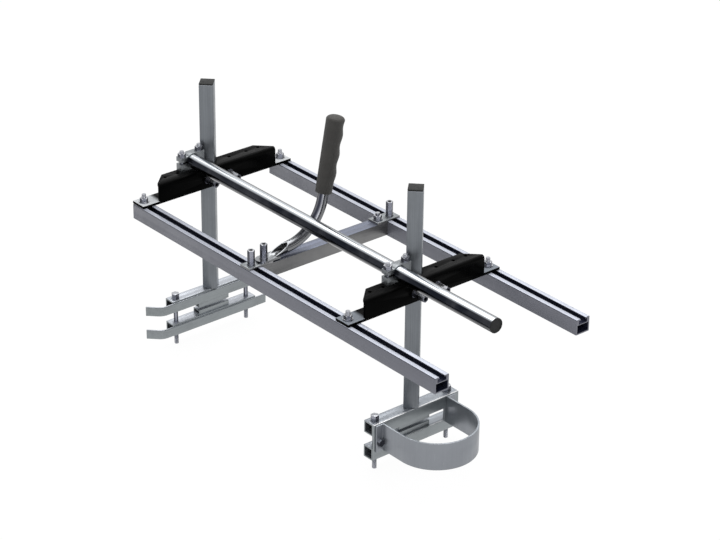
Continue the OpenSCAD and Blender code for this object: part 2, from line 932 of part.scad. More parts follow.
module front_plate() {
    color("darkgray") at_right_post() difference() {
        translate([bar_s / 2, -bar_len / 2, post_z - plate_h]) cube([plate_t, bar_len, plate_h]);
        translate([bar_s / 2 - cut, -window_len / 2, gap_z + window_gap])
            cube([plate_t + 2 * cut, window_len, bar_gap - 2 * window_gap]);
        guard_holes(snug_gap);
    }
}

module guard_outline(r, reach) {
    translate([guard_side, 0]) intersection() {
        circle(r = r);
        translate([0, -2 * r]) square([2 * r, 4 * r]);
    }
    translate([-reach, -r]) square([guard_side + reach, 2 * r]);
}

module nose_guard() {
    color("gray") at_right_post() difference() {
        translate([bar_s / 2 + plate_t, guard_mid, guard_z]) {
            linear_extrude(guard_h) difference() {
                guard_outline(guard_r, 0);
                guard_outline(guard_r - guard_t, cut);
            }
            for (side = [-1, 1]) {
                translate([0, side * tab_y - tab_w / 2, 0]) cube([guard_t, tab_w, guard_h]);
            }
        }
        guard_holes(snug_gap);
    }
}

module guard_bolts() {
    color("lightgray") at_right_post() for (side = [-1, 1]) {
        translate([bar_s / 2 + plate_t + guard_t, guard_mid + side * tab_y, guard_bolt_z])
            rotate([0, 90, 0]) {
                cylinder(d = guard_af / cos(30), h = guard_head_h, $fn = 6);
                translate([0, 0, -plate_t - guard_t - guard_nut_h])
                    cylinder(d = guard_bolt_d, h = plate_t + guard_t + guard_nut_h + guard_head_h / 2);
            }
    }
}

module guard_nuts() {
    color("lightgray") at_right_post() for (side = [-1, 1]) {
        translate([bar_s / 2, guard_mid + side * tab_y, guard_bolt_z]) rotate([0, -90, 0]) difference() {
            cylinder(d = guard_af / cos(30), h = guard_nut_h, $fn = 6);
            translate([0, 0, -cut]) cylinder(d = guard_bolt_d + 2 * snug_gap, h = guard_nut_h + 2 * cut);
        }
    }
}

rail_near();
rail_far();
cross_brace();
brace_plate_near();
brace_plate_far();
brace_bolts();
brace_coupling_nuts();
brace_washers();
brace_nut();
bracket_left();
foot_bolts_left();
foot_nuts_left();
u_bolt_left();
u_bolt_nuts_left();
tube_clamp_left();
tube_clamp_bolts_left();
tube_clamp_nuts_left();
bracket_right();
foot_bolts_right();
foot_nuts_right();
u_bolt_right();
u_bolt_nuts_right();
tube_clamp_right();
tube_clamp_bolts_right();
tube_clamp_nuts_right();
guide_tube();
guide_tube_plug_left();
guide_tube_plug_right();
handle_tube();
handle_grip();
post_left();
post_cap_left();
upper_bar_left();
upper_strip_left();
upper_pad_left();
clamp_bolts_left();
lower_bar_left();
lower_strip_left();
lower_pad_left();
post_right();
post_cap_right();
upper_bar_right();
upper_pad_right();
clamp_bolts_right();
front_plate();
nose_guard();
guard_bolts();
guard_nuts();
lower_bar_right();
lower_pad_right();
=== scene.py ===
"""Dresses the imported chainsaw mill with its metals, paint, plastics and finer pieces."""

import json
import math
from functools import partial

import bmesh
import bpy
from bpy.props import FloatProperty, FloatVectorProperty, IntProperty, PointerProperty
from mathutils import Matrix, Vector
from mathutils.bvhtree import BVHTree


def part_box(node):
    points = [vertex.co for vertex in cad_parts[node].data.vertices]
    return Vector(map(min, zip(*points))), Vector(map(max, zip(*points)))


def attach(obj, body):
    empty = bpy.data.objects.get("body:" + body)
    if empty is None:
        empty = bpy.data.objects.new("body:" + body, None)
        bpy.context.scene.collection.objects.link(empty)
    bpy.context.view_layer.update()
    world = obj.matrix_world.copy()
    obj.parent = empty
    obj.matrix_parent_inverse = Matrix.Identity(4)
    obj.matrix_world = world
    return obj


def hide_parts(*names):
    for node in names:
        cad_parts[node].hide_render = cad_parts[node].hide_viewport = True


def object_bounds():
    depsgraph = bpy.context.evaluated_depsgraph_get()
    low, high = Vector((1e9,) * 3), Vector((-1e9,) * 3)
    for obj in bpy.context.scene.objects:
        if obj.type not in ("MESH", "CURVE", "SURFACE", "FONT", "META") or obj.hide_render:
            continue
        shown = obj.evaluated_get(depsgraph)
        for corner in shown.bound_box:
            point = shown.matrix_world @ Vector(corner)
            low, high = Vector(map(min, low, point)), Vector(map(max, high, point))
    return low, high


bl_info = {
    "name": "Chainsaw Mill Dresser",
    "version": (1, 0, 0),
    "blender": (4, 5, 0),
    "location": "View3D > Sidebar > Mill",
    "description": "Gives the chainsaw mill its finishes, finer pieces and stage",
    "category": "Object",
}

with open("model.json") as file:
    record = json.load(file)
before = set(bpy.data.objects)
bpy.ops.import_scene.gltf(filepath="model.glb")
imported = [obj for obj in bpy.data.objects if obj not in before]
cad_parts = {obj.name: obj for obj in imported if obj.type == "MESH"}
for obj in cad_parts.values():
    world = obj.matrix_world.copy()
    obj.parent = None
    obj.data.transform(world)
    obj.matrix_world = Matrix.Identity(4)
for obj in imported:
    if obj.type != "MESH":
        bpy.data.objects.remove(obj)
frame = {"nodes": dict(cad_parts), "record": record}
CAD_LOW, CAD_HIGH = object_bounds()
BODY_OF = {node: body for body, nodes in frame["record"]["behaviour"]["bodies"].items() for node in nodes}
SIDES = ("left", "right")
MM = 0.001


def number(name, description, value, **kind):
    """A number that the user can change"""
    return FloatProperty(name=name, description=description, default=value, **kind)


def triple(name, description, value, **kind):
    """Three numbers that the user can change"""
    return FloatVectorProperty(name=name, description=description, default=value, **kind)


length = partial(number, unit="LENGTH", subtype="DISTANCE", min=0.0)
power = partial(number, unit="POWER", min=0.0)
angle = partial(number, subtype="ANGLE")
colour = partial(triple, subtype="COLOR", min=0.0, max=1.0)
spot = partial(triple, unit="LENGTH", subtype="TRANSLATION")


class MillFinish(bpy.types.PropertyGroup):
    """Colours of the mill's finishes, and of the highlights, reflections and shade painted on them"""

    rail_side: colour("Rail side", "Extruded aluminium of the sides", (0.185, 0.19, 0.222))
    # Painted highlight: the rails' upward faces are painted lighter than their sides
    rail_lip: colour("Rail lip", "Rubbed aluminium on top", (0.56, 0.59, 0.68))
    # Painted shade: tilted faces on the rails' rounded edges and corners are painted dark
    rail_edge: colour("Rail edge", "Rounded edges and corners", (0.035, 0.038, 0.055))
    # Painted shade inside the rails' T-slots and hollows
    rail_slot: colour("Rail slot", "Inside the T-slots and hollows", (0.018, 0.022, 0.048))
    brace_side: colour("Brace side", "Aluminium of the sides", (0.225, 0.225, 0.225))
    # Painted reflection: the brace's upward faces get a bluish tone of their own
    brace_top: colour("Brace top", "Aluminium on top", (0.20, 0.22, 0.285))
    # Painted shade on the tilted faces of the brace's and clamp bars' rounded edges
    bar_edge: colour("Bar edge", "Rounded edges of brace and clamp bars", (0.07, 0.075, 0.085))
    clamp_block: colour("Tube clamp", "Machined aluminium", (0.21, 0.225, 0.235))
    # Painted highlight: upward faces of the tube clamps and brace plates are painted lighter
    clamp_block_top: colour("Tube clamp top", "Top of tube clamps and brace plates", (0.30, 0.32, 0.335))
    bracket_paint: colour("Bracket", "Gloss black of the end brackets", (0.0006, 0.0006, 0.0006))
    # Painted sheen: upward faces of the black brackets are painted lighter
    bracket_top: colour("Bracket top", "Gloss black of the top flanges", (0.0065, 0.0065, 0.0067))
    bracket_dust: colour("Bracket dust", "Dust on the black paint", (0.02, 0.02, 0.0205))
    bracket_scratch: colour("Bracket scratch", "Scratches in the black paint", (0.10, 0.10, 0.11))
    # Painted reflection: the feet's upward faces past the web are painted light, each bracket with its own
    # tone
    foot_left: colour("Left feet", "Bare tops of the left feet", (0.62, 0.64, 0.66))
    foot_right: colour("Right feet", "Bare tops of the right feet", (0.27, 0.295, 0.33))
    post_side: colour("Post", "Brushed steel", (0.215, 0.232, 0.25))
    bar_side: colour("Clamp bar", "Rolled steel of the sides", (0.30, 0.325, 0.335))
    # Painted highlights: upward faces of the clamp bars are painted lighter, more on the left clamp than on
    # the right; the posts and the nose guard take them too
    bar_top: colour("Left bar top", "Top of the left clamp's bars", (0.56, 0.59, 0.64))
    bar_dull: colour("Right bar top", "Top of the right clamp's bars", (0.40, 0.43, 0.47))
    # Painted highlight along the front plate's upward faces
    plate_top: colour("Plate edge", "Bright cut edge on top", (0.85, 0.86, 0.88))
    guard_side: colour("Nose guard", "Smooth rolled steel", (0.27, 0.285, 0.31))
    metal_streak: colour("Metal streak", "Dark streaks of drawn metal", (0.04, 0.04, 0.05))
    metal_smudge: colour("Metal smudge", "Smudges on drawn metal", (0.14, 0.14, 0.15))
    metal_scratch: colour("Metal scratch", "Bright scratches in the metal", (0.7, 0.71, 0.75))
    # Painted reflection on the guide tube: light on its crown, dark on its flanks, greyer below
    tube_bright: colour("Guide tube light", "Chrome on top of the guide tube", (0.60, 0.63, 0.665))
    tube_dark: colour("Guide tube dark", "Chrome on the guide tube's flanks", (0.010, 0.012, 0.018))
    tube_belly: colour("Guide tube belly", "Chrome below the flanks", (0.17, 0.17, 0.175))
    tube_under: colour("Guide tube underside", "Chrome at the very bottom", (0.24, 0.24, 0.245))
    tube_smudge: colour("Guide tube smudge", "Smudges on the chrome", (0.3, 0.3, 0.32))
    # Painted reflection on the bent handle: light, grey and dark streaks across the tube, and a painted
    # highlight on upward faces
    handle_light: colour("Handle light", "Light streak along the tube", (0.62, 0.63, 0.66))
    handle_dark: colour("Handle dark", "Dark streak along the tube", (0.035, 0.038, 0.055))
    handle_rim: colour("Handle rim", "Grey left of the dark streak", (0.16, 0.163, 0.18))
    handle_half: colour("Handle half light", "Grey between dark and light streak", (0.26, 0.27, 0.32))
    handle_soft: colour("Handle soft light", "Grey past the light streak", (0.24, 0.245, 0.27))
    handle_grey: colour("Handle grey", "Grey towards the right side", (0.20, 0.204, 0.21))
    handle_left: colour("Handle left", "Left side of the tube", (0.12, 0.122, 0.13))
    handle_right: colour("Handle right", "Right side of the tube", (0.14, 0.143, 0.15))
    handle_top: colour("Handle top", "Upward faces of the foot and the scoop", (0.36, 0.375, 0.39))
    handle_smudge: colour("Handle smudge", "Smudges on the handle", (0.12, 0.12, 0.13))
    # Painted light inside the handle's tube: a lighter steel, lightest on upward faces
    inside_side: colour("Handle inside", "Steel inside the handle's tube", (0.42, 0.43, 0.43))
    inside_top: colour("Handle inside top", "Upward faces inside the tube", (0.78, 0.80, 0.80))
    zinc: colour("Zinc", "Bright zinc of bolts, nuts and washers", (0.34, 0.35, 0.40))
    # Painted light on the zinc: flanks facing sideways are painted dark, upward faces light
    zinc_dark: colour("Zinc dark", "Zinc on the flanks", (0.055, 0.057, 0.07))
    zinc_top: colour("Zinc top", "Zinc on upper faces", (0.50, 0.51, 0.54))
    zinc_cloud: colour("Zinc cloud", "Cloudy patches in the zinc", (0.16, 0.165, 0.2))
    zinc_scratch: colour("Zinc scratch", "Tool marks in the zinc", (0.12, 0.12, 0.13))
    bore_dark: colour("Bore", "Unlit inside of the long nuts", (0.006, 0.006, 0.008))
    cap_plastic: colour("Plastic", "Dark plastic of caps and plugs", (0.011, 0.0115, 0.0115))
    cap_smudge: colour("Plastic smudge", "Smudges on the plastic", (0.035, 0.035, 0.037))
    cap_scratch: colour("Plastic scratch", "Pale scratches in the plastic", (0.2, 0.2, 0.21))
    grip_rubber: colour("Grip", "Rubber of the grip", (0.026, 0.0245, 0.022))
    grip_dust: colour("Grip dust", "Paler dust on the grip", (0.05, 0.047, 0.042))


class MillShapes(bpy.types.PropertyGroup):
    """Sizes of the finer pieces"""

    bolt_radius: length("Bolt radius", "Radius of a bolt over its thread", 3.95 * MM)
    head_across: length("Head width", "Width of a head across the flats", 12.7 * MM)
    head_height: length("Head height", "Height of a bolt's head", 5.3 * MM)
    thread_pitch: length("Thread pitch", "Distance between turns of a thread", 1.41 * MM)
    thread_depth: length("Thread depth", "Depth of a bolt's thread", 0.55 * MM)
    thread_length: length("Thread length", "Thread at the top of an upright bolt", 14 * MM)
    thread_rise: length("Thread rise", "How far a clamp bolt's thread goes into the lower bar", 9 * MM)
    thread_lap: length("Thread lap", "How far a thread and its shank overlap", 1 * MM)
    head_lap: length("Head lap", "How far a shank stands in its head", 0.5 * MM)
    near_bolt_drop: length("Near bolt drop", "How much lower a tube clamp's near bolt ends", 4.0 * MM)
    nut_bore: length("Nut bore", "Widest gap across the bore of a long nut", 8.5 * MM)
    handle_bore: length("Handle bore", "Widest gap across the handle's bore", 16.5 * MM)
    soft_edge: length("Soft edge", "Broken edges of plates and bars", 0.5 * MM)
    rail_edge: length("Rail edge", "Rounded edges of the rails", 0.6 * MM)
    post_edge: length("Post edge", "Rounded edges of the posts", 1.2 * MM)
    cap_edge: length("Cap edge", "Rounded edge of a post cap", 0.9 * MM)
    tube_wall: length("Tube wall", "Wall of the guide tube", 1.7 * MM)
    tube_edge: length("Tube edge", "Broken edge at the tube's ends", 0.3 * MM)
    plug_play: length("Plug play", "Gap between a plug's shank and the tube", 0.1 * MM)
    plug_flange: length("Plug flange", "Thickness of a plug's flange", 2.2 * MM)
    plug_edge: length("Plug edge", "Broken edge of a plug's flange", 0.8 * MM)
    plug_rim: length("Plug rim", "Width of the raised ring on a plug's face", 2.6 * MM)
    plug_slope: length("Plug slope", "Width of the slope inside the raised ring", 0.8 * MM)
    plug_dish: length("Plug dish", "Depth of its face inside the ring", 0.9 * MM)
    grip_slope: angle("Grip slope", "Angle of the grip above the level", math.radians(78.4))
    grip_foot: length("Grip foot", "Width of the grip at its lower end", 28.5 * MM)
    grip_head: length("Grip head", "Width of the grip at its upper end", 33.0 * MM)
    grip_length: length("Grip length", "Length of the grip with its dome", 135.6 * MM)
    grip_bore: length("Grip bore", "Radius of the hole for the handle tube", 10.2 * MM)
    grip_core: length("Grip core", "Radius that the finger hollows leave alone", 11 * MM)
    grip_ring: length("Grip ring", "Distance between two rings of faces", 2.0 * MM)
    grip_collar: length("Grip collar", "Where the finger side starts to swell", 22 * MM)
    grip_full: length("Grip full", "Where the swell is full and hollows start", 34 * MM)
    finger_depth: length("Finger depth", "Depth of the finger hollows", 2.8 * MM)
    finger_swell: length("Finger swell", "How far the finger side stands out", 2.0 * MM)
    finger_count: IntProperty(name="Fingers", description="Number of finger hollows", default=3, min=1)


class MillStage(bpy.types.PropertyGroup):
    """Camera, lamps and floor"""

    camera_place: spot("Camera", "Where the camera stands", (2.8833, -2.4025, 2.1861))
    camera_azimuth: angle("Azimuth", "Turn of the camera round the mill", math.radians(50.05))
    camera_height: angle("Elevation", "Angle of the camera above the level", math.radians(26.96))
    camera_roll: angle("Roll", "Tilt of the camera about its axis", math.radians(0.53))
    camera_lens: number("Lens", "Focal length in millimetres", 125.27)
    camera_shift: number("Shift", "Sideways shift in widths of the picture", 0.0092)
    floor_size: length("Floor", "Side of the square floor", 14.0)
    floor_drop: length("Floor drop", "Gap between the floor and the mill", 0.3 * MM)
    floor_tone: colour("Floor tone", "Matt colour of the floor under the lamps", (0.86, 0.86, 0.87))
    floor_glow: number("Floor glow", "White that the camera sees on the floor", 1.03)
    floor_share: number("Glow share", "Share of that white, which leaves the rest to shadows", 0.93)
    key_place: spot("Key place", "The lamp above, from the mill's middle", (-0.6, 0.5, 2.6))
    key_size: length("Key size", "Side of the lamp above", 3.2)
    key_power: power("Key lamp", "Power of the lamp above", 58.0)
    key_tone: colour("Key tone", "Colour of the lamp above", (1.0, 0.99, 0.97))
    fill_place: spot("Fill place", "The lamp in front, from the mill's middle", (2.9, -0.6, 1.5))
    fill_size: length("Fill size", "Side of the lamp in front", 2.6)
    fill_power: power("Fill lamp", "Power of the lamp in front", 16.0)
    fill_tone: colour("Fill tone", "Colour of the lamp in front", (0.97, 0.98, 1.0))
    sky_strength: number("Sky", "Strength of the soft light all round", 0.55)
    sky_tone: colour("Sky tone", "Colour of the soft light all round", (0.97, 0.98, 1.0))


def shapes():
    """The finer pieces' sizes in the scene"""
    return bpy.context.scene.mill_shapes


def solid(value):
    """A colour with its alpha of 1, as a node takes it"""
    return (value[0], value[1], value[2], 1.0)


def tone(name):
    """A colour of the mill's finishes or of its painted light and shade, as a node takes it"""
    return solid(getattr(bpy.context.scene.mill_finish, name))


def cleared(owner):
    """The empty node tree of a material or a world"""
    owner.use_nodes = True
    owner.node_tree.nodes.clear()
    return owner.node_tree


WHITE = (1.0, 1.0, 1.0, 1.0)
# Most of a noise's values lie in this span
NOISE_SPAN = (0.3, 0.7)
# Distance between nodes in the node editor
NODE_STEP = 180


class Tree:
    """Adds nodes to a node tree and links them"""

    def __init__(self, node_tree):
        self.node_tree = node_tree
        self.x = 0

    def add(self, kind, inputs=None, **settings):
        """Adds a node with its settings, and links or sets its inputs"""
        made = self.node_tree.nodes.new(kind)
        made.location = (self.x, 0)
        self.x += NODE_STEP
        for key, value in settings.items():
            setattr(made, key, value)
        for key, value in (inputs or {}).items():
            if isinstance(value, bpy.types.NodeSocket):
                self.node_tree.links.new(value, made.inputs[key])
            else:
                made.inputs[key].default_value = value
        return made

    def shared(self, give_group, **inputs):
        """Adds a shared node group and gives its outputs"""
        return self.add("ShaderNodeGroup", inputs, node_tree=give_group()).outputs

    def maths(self, operation, a, b=0.0, clamp=False):
        """One step of arithmetic"""
        return self.add("ShaderNodeMath", {0: a, 1: b}, operation=operation, use_clamp=clamp).outputs[0]

    def mix(self, share, a, b):
        """The first colour at a share of 0 and the second at 1"""
        return self.add("ShaderNodeMix", {0: share, 6: a, 7: b}, data_type="RGBA").outputs[2]

    def spread(self, value, low, high, new_low=0.0, new_high=1.0):
        """Carries a range of values over to another and holds it there"""
        ends = {1: low, 2: high, 3: new_low, 4: new_high}
        return self.add("ShaderNodeMapRange", {0: value, **ends}).outputs[0]

    def noise(self, vector, scale, detail, roughness=0.5, distortion=0.0):
        """Cloudy noise"""
        return self.add("ShaderNodeTexNoise", {"Vector": vector, "Scale": scale, "Detail": detail,
                                               "Roughness": roughness, "Distortion": distortion}).outputs[0]

    def ramp(self, value, stops):
        """Colours along a value from 0 to 1, each from its stop's place and tone"""
        made = self.add("ShaderNodeValToRGB", {0: value})
        elements = made.color_ramp.elements
        for element, (place, name) in ((elements[0], stops[0]), (elements[1], stops[-1])):
            element.position, element.color = place, tone(name)
        for place, name in stops[1:-1]:
            elements.new(place).color = tone(name)
        return made.outputs[0]

    def seen(self):
        """1 on what the camera sees straight, mirrored or through glass, and 0 on what lights the mill"""
        rays = self.add("ShaderNodeLightPath").outputs
        mirrored = self.maths("ADD", rays["Is Glossy Ray"], rays["Is Transmission Ray"])
        return self.maths("ADD", rays["Is Camera Ray"], mirrored, clamp=True)


class Finish(Tree):
    """A material with its Principled shader and Object coordinates"""

    def __init__(self, name, metallic, specular=0.5):
        self.material = bpy.data.materials.new(name)
        super().__init__(cleared(self.material))
        self.place = self.add("ShaderNodeTexCoord").outputs["Object"]
        self.surface = self.add("ShaderNodeBsdfPrincipled", {"Metallic": metallic,
                                                             "Specular IOR Level": specular})
        self.add("ShaderNodeOutputMaterial", {"Surface": self.surface.outputs[0]})

    def marked(self, base, marks, *layers):
        """Lays smudges and then scratches over a colour, each with its share and tone"""
        for mask, (share, name) in zip((marks["Smudge"], marks["Scratch"]), layers):
            base = self.mix(self.maths("MULTIPLY", mask, share), base, tone(name))
        return base

    def done(self, base, roughness, height, relief, depth=0.1 * MM):
        """Feeds colour, roughness and relief to the shader and gives the material"""
        bump = self.add("ShaderNodeBump", {"Strength": relief, "Distance": depth, "Height": height})
        for socket, value in (("Base Color", base), ("Roughness", roughness), ("Normal", bump.outputs[0])):
            self.node_tree.links.new(value, self.surface.inputs[socket])
        return self.material


def node_group(**inputs):
    """Makes a function that fills a node group into one that gives it, built on its first use.

    An input of None is a vector, and a number is a plain value's default.
    """

    def wrap(fill):
        name = "Mill " + fill.__name__.replace("_", " ")

        def give_group():
            if name not in bpy.data.node_groups:
                made = bpy.data.node_groups.new(name, "ShaderNodeTree")
                for label, value in inputs.items():
                    kind = "NodeSocketVector" if value is None else "NodeSocketFloat"
                    socket = made.interface.new_socket(name=label, in_out="INPUT", socket_type=kind)
                    if value is not None:
                        socket.default_value = value
                tree = Tree(made)
                outputs = fill(tree, tree.add("NodeGroupInput").outputs)
                for label in outputs:
                    made.interface.new_socket(name=label, in_out="OUTPUT", socket_type="NodeSocketFloat")
                tree.add("NodeGroupOutput", outputs)
            return bpy.data.node_groups[name]

        return give_group

    return wrap


@node_group(Vector=None, Stretch=None)
def drawn_grain(tree, given):
    """Fine streaks along the way a tube or bar was drawn or brushed, and broad bands of them"""
    fine = tree.add("ShaderNodeVectorMath", {0: given["Vector"], 1: given["Stretch"]}, operation="MULTIPLY")
    wide = tree.add("ShaderNodeVectorMath", {0: fine.outputs[0], "Scale": 0.14}, operation="SCALE")
    return {"Streaks": tree.noise(fine.outputs[0], scale=1.0, detail=5.0, roughness=0.62),
            "Bands": tree.noise(wide.outputs[0], scale=1.0, detail=2.0)}


@node_group(Vector=None, Size=30.0)
def handling_marks(tree, given):
    """Smudges and thin scratches from handling"""
    smudge = tree.noise(given["Vector"], given["Size"], detail=4.0, roughness=0.55, distortion=0.6)
    drawn = tree.add("ShaderNodeMapping", {"Vector": given["Vector"], "Rotation": (0.5, 0.3, 0.7),
                                           "Scale": (1900.0, 16.0, 40.0)})
    line = tree.noise(drawn.outputs[0], scale=1.0, detail=1.0)
    return {"Smudge": tree.spread(smudge, 0.42, 0.66), "Scratch": tree.spread(line, 0.72, 0.78)}


@node_group(Start=0.25, Full=0.95)
def face_tone(tree, given):
    """How far a face looks up, from 0 at the sides to 1 on top, and where it is tilted between the two, as
    masks for painted highlights on top and painted shade on tilted edges
    """
    normal = tree.add("ShaderNodeNewGeometry").outputs["Normal"]
    upward = tree.add("ShaderNodeSeparateXYZ", {0: normal}).outputs[2]
    rising = tree.spread(upward, 0.15, 0.4)
    level = tree.spread(upward, 0.8, 0.96, 1.0, 0.0)
    return {"Top": tree.spread(upward, given["Start"], given["Full"]),
            "Tilt": tree.maths("MULTIPLY", rising, level)}


@node_group(Direction=None)
def facing(tree, given):
    """How far a face looks along a direction, from -1 against it to 1 along it"""
    normal = tree.add("ShaderNodeNewGeometry").outputs["Normal"]
    both = tree.add("ShaderNodeVectorMath", {0: normal, 1: given["Direction"]}, operation="DOT_PRODUCT")
    return {"Facing": both.outputs["Value"]}


@node_group(Vector=None, Size=1400.0)
def pebble(tree, given):
    """Small pebbled relief of paint, moulded plastic and rubber"""
    cells = tree.add("ShaderNodeTexVoronoi", {"Vector": given["Vector"], "Scale": given["Size"],
                                              "Randomness": 1.0}, feature="SMOOTH_F1")
    return {"Relief": tree.maths("ADD", cells.outputs[0], tree.noise(given["Vector"], given["Size"], 3.0))}


ALONG_X = (6.0, 1500.0, 1500.0)
ALONG_Y = (1500.0, 6.0, 1500.0)
ALONG_Z = (1500.0, 1500.0, 6.0)
ALONG_BEND = (1500.0, 12.0, 12.0)
# Where the guide tube's painted highlight faces, up and a little to the front
TUBE_CROWN = (0.0, -0.26, 0.966)
# Level, halfway between the mill's length and its width; the handle's painted reflection streaks and the
# zinc's painted flank shade follow it
SIDEWAYS = (0.64, 0.77, 0.0)
# Painted reflection across the guide tube, by how far a face looks towards its crown
CHROME_REFLECTION_STOPS = ((0.0, "tube_under"), (0.40, "tube_belly"), (0.60, "tube_dark"), (0.925, "tube_dark"),
                (0.98, "tube_bright"))
# Painted reflection streaks across the handle, by how far a face looks sideways
HANDLE_REFLECTION_STOPS = ((0.0, "handle_left"), (0.14, "handle_rim"), (0.24, "handle_dark"), (0.37, "handle_dark"),
                (0.47, "handle_half"), (0.55, "handle_light"), (0.63, "handle_soft"), (0.80, "handle_grey"),
                (1.0, "handle_right"))


def drawn_metal(name, side, top, stretch, roughness, streak=0.18, smudge=0.10, scratch=0.16, relief=0.10,
                dark=None, edge=None, metallic=0.9):
    """A drawn, rolled or brushed metal with its grain and marks, a painted highlight on its upward faces,
    and painted shade on rounded edges and in slots where those are given
    """
    smoother, rougher, smudge_rougher, scratch_depth = 0.06, 0.08, 0.07, 0.4
    made = Finish(name, metallic)
    grain = made.shared(drawn_grain, Vector=made.place, Stretch=stretch)
    marks = made.shared(handling_marks, Vector=made.place, Size=26.0)
    looks = made.shared(face_tone)
    # Painted highlight: upward faces take the top tone over the sides' colour
    base = made.mix(looks["Top"], tone(side), tone(top))
    # Painted shade on the tilted faces of rounded edges, where an edge tone is given
    if edge is not None:
        base = made.mix(looks["Tilt"], base, tone(edge))
    # Painted shade in the slots and hollows that the dark mask picks out
    if dark is not None:
        base = made.mix(dark(made), base, tone("rail_slot"))
    lined = made.mix(made.spread(grain["Streaks"], *NOISE_SPAN, streak, 0.0), base, tone("metal_streak"))
    base = made.marked(lined, marks, (smudge, "metal_smudge"), (scratch, "metal_scratch"))
    gloss = made.spread(grain["Bands"], *NOISE_SPAN, roughness - smoother, roughness + rougher)
    rough = made.maths("ADD", gloss, made.maths("MULTIPLY", marks["Smudge"], smudge_rougher))
    height = made.maths("ADD", grain["Streaks"], made.maths("MULTIPLY", marks["Scratch"], -scratch_depth))
    return made.done(base, rough, height, relief, depth=0.2 * MM)


def slot_mask(made):
    """1 inside the rails' T-slots and hollows, where shade is painted, 0 elsewhere"""
    slot_half, slot_depth = 9.2 * MM, 8.7 * MM
    shade_start, shade_full = 0.3 * MM, 1.4 * MM
    roof_depth, wall, end_margin = 10 * MM, 2.2 * MM, 0.3 * MM
    low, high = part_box("rail_far")
    middle = (low + high) / 2
    along, across, height = made.add("ShaderNodeSeparateXYZ", {0: made.place}).outputs
    from_end = made.maths("ABSOLUTE", made.maths("SUBTRACT", along, middle.x))
    from_middle = made.maths("ABSOLUTE", made.maths("SUBTRACT", made.maths("ABSOLUTE", across), middle.y))
    slot = made.maths("MULTIPLY", made.maths("LESS_THAN", from_middle, slot_half),
                      made.spread(height, high.z - shade_full, high.z - shade_start, 1.0, 0.0))
    slot = made.maths("MULTIPLY", slot, made.maths("GREATER_THAN", height, high.z - slot_depth))
    hollow = made.maths("MULTIPLY", made.maths("LESS_THAN", from_middle, high.y - middle.y - wall),
                        made.maths("LESS_THAN", height, high.z - roof_depth))
    hollow = made.maths("MULTIPLY", hollow, made.maths("GREATER_THAN", height, low.z + wall))
    within = made.maths("LESS_THAN", from_end, high.x - middle.x - end_margin)
    return made.maths("MULTIPLY", made.maths("MAXIMUM", slot, hollow), within)


def bracket_black(name, foot):
    """Gloss black paint with a fine skin, a painted sheen on upward faces, and a painted reflection on the
    tops of the feet that lie on the rails
    """
    foot_top, foot_fade = 6 * MM, 10 * MM
    web_end, foot_start = 122 * MM, 130 * MM
    made = Finish(name, 0.0, specular=0.02)
    skin = made.shared(pebble, Vector=made.place, Size=900.0)
    marks = made.shared(handling_marks, Vector=made.place, Size=40.0)
    looks = made.shared(face_tone, Start=0.6, Full=0.98)
    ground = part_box("bracket_left")[0].z
    _, across, height = made.add("ShaderNodeSeparateXYZ", {0: made.place}).outputs
    # Painted reflection on the feet's upward faces, low down and past the web
    low_down = made.spread(height, ground + foot_top, ground + foot_fade, 1.0, 0.0)
    past_web = made.spread(made.maths("ABSOLUTE", across), web_end, foot_start)
    foot_reflection_share = made.maths("MULTIPLY", made.maths("MULTIPLY", low_down, past_web), looks["Top"])
    # Painted sheen on upward faces of the black paint
    paint = made.mix(looks["Top"], tone("bracket_paint"), tone("bracket_top"))
    base = made.marked(made.mix(foot_reflection_share, paint, tone(foot)), marks, (0.04, "bracket_dust"),
                       (0.08, "bracket_scratch"))
    return made.done(base, made.spread(marks["Smudge"], 0.0, 1.0, 0.26, 0.36), skin["Relief"], relief=0.12)


def tube_chrome():
    """Bright chrome with a painted reflection, light above and dark on the flanks, with polishing lines and
    a few smudges
    """
    made = Finish("Guide tube chrome", 1.0)
    grain = made.shared(drawn_grain, Vector=made.place, Stretch=ALONG_X)
    marks = made.shared(handling_marks, Vector=made.place, Size=18.0)
    # Painted reflection: the colour follows a ramp of how far a face looks towards the crown
    up = made.spread(made.shared(facing, Direction=TUBE_CROWN)["Facing"], -1.0, 1.0)
    base = made.marked(made.ramp(up, CHROME_REFLECTION_STOPS), marks, (0.10, "tube_smudge"))
    polish = made.spread(grain["Bands"], *NOISE_SPAN, 0.12, 0.19)
    rough = made.maths("ADD", polish, made.maths("MULTIPLY", marks["Smudge"], 0.05))
    return made.done(base, rough, grain["Streaks"], relief=0.04)


def handle_steel():
    """Polished steel of the bent handle, with painted light and dark reflection streaks along the tube and
    a painted highlight on upward faces
    """
    made = Finish("Handle polished steel", 0.95)
    grain = made.shared(drawn_grain, Vector=made.place, Stretch=ALONG_BEND)
    marks = made.shared(handling_marks, Vector=made.place, Size=40.0)
    rightward = made.spread(made.shared(facing, Direction=SIDEWAYS)["Facing"], -1.0, 1.0)
    painted_streaks = made.ramp(rightward, HANDLE_REFLECTION_STOPS)
    # Painted highlight on upward faces of the foot and the scoop
    looks = made.shared(face_tone, Start=0.74, Full=0.96)
    base = made.marked(made.mix(looks["Top"], painted_streaks, tone("handle_top")), marks, (0.12, "handle_smudge"))
    polish = made.spread(grain["Bands"], *NOISE_SPAN, 0.14, 0.24)
    return made.done(base, polish, grain["Streaks"], relief=0.05)


